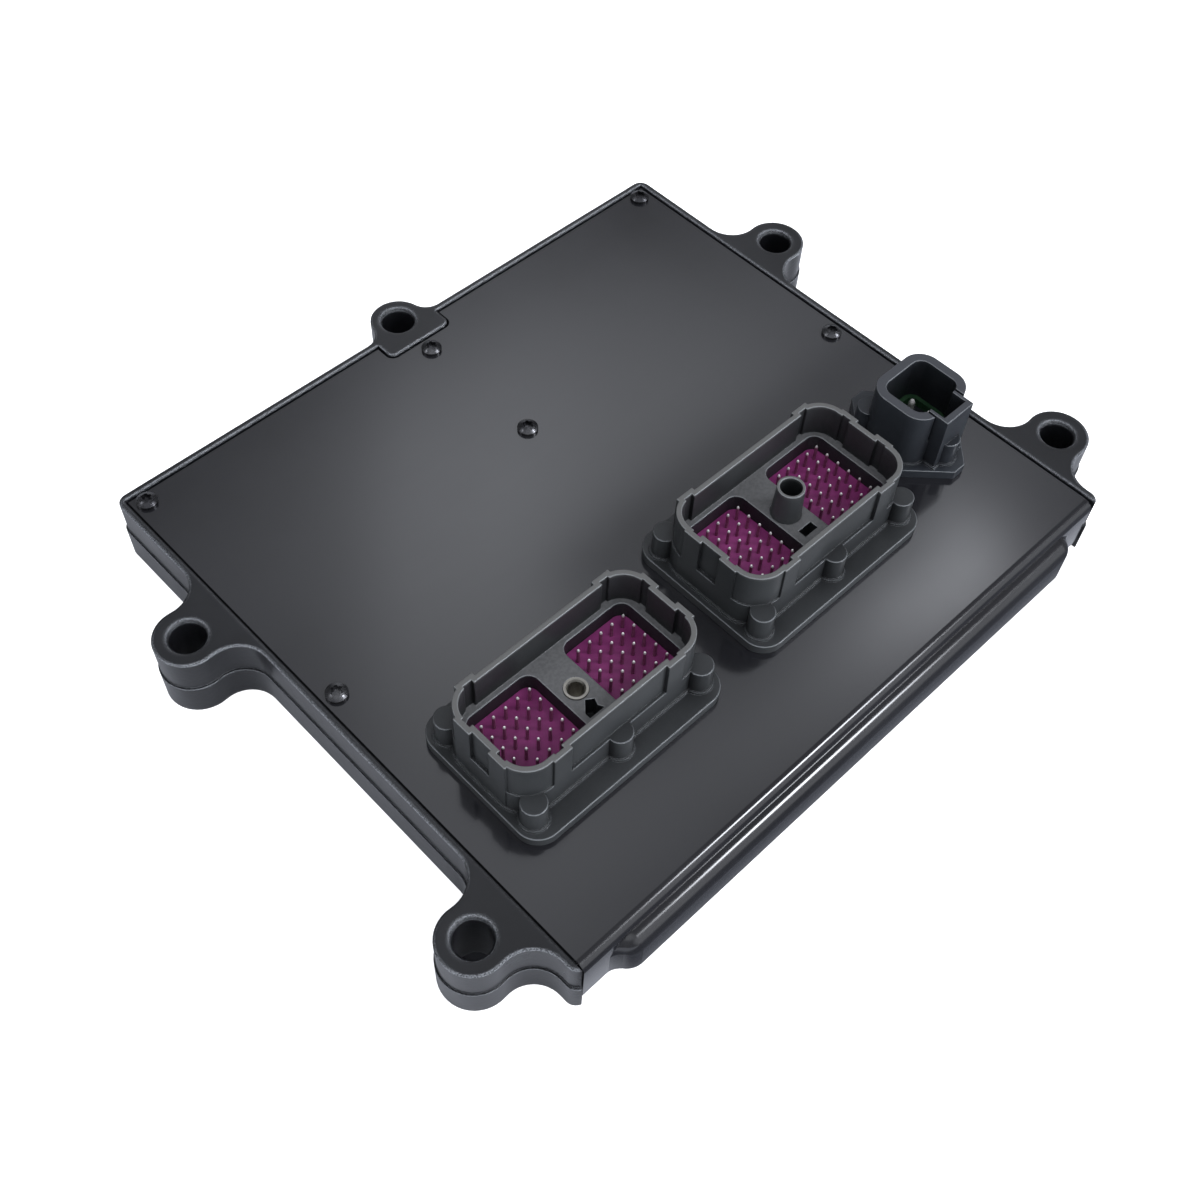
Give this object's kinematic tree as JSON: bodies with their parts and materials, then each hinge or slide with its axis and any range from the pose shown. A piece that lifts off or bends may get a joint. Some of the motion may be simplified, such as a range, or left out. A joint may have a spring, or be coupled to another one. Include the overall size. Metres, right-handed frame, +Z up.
{
  "type": "engine control unit",
  "caption": "Engine control unit: flat cast tray with mounting ears, pressed lid with a bulged front fold, two ribbed multi-pin harness headers and a small latched power header.",
  "frame": {"origin": "centre of the tray's flat base face", "axes": "+X along the row of headers towards the power header, +Y towards the single back ear, +Z up out of the lid"},
  "size_m": [0.3006, 0.2448, 0.052],
  "materials": {
    "housing": "satin black paint on cast metal",
    "cover": "gloss black paint",
    "seal": "matte",
    "dark_steel": "black plated steel",
    "header": "dark grey glass-filled plastic",
    "pin_seal": "magenta silicone",
    "pins": "tinned",
    "jack_insert": "nickel plated",
    "steel": "zinc plated",
    "power_header": "blue-black plastic",
    "power_pins": "gold plated",
    "power_seal": "green silicone",
    "board": "green solder mask",
    "chip": "moulded package",
    "can": "plain can",
    "ferrite": "moulded ferrite",
    "thermal_pad": "filled silicone"
  },
  "bodies": {
    "root": {"housing": "housing", "cover": "cover", "cover_seal": "seal", "cover_screws": "dark_steel", "header_left": "header", "header_right": "header", "pin_seal_left_a": "pin_seal", "pin_seal_left_b": "pin_seal", "pin_seal_right_a": "pin_seal", "pin_seal_right_b": "pin_seal", "pins_left": "pins", "pins_right": "pins", "jack_insert": "jack_insert", "jack_tube": "header", "gasket_left": "seal", "gasket_right": "seal", "gasket_power": "seal", "header_screws_left": "steel", "header_screws_right": "steel", "header_screws_power": "steel", "power_header": "power_header", "power_pins": "power_pins", "power_seal": "power_seal", "circuit_board": "board", "board_screws": "steel", "processor": "chip", "memory_chips": "chip", "supply_chips": "chip", "driver_chips": "chip", "transceivers": "chip", "power_transistors": "chip", "capacitors": "can", "inductors": "ferrite", "crystal": "can", "pressure_sensor": "chip", "thermal_pads": "thermal_pad"}
  },
  "joints": []
}
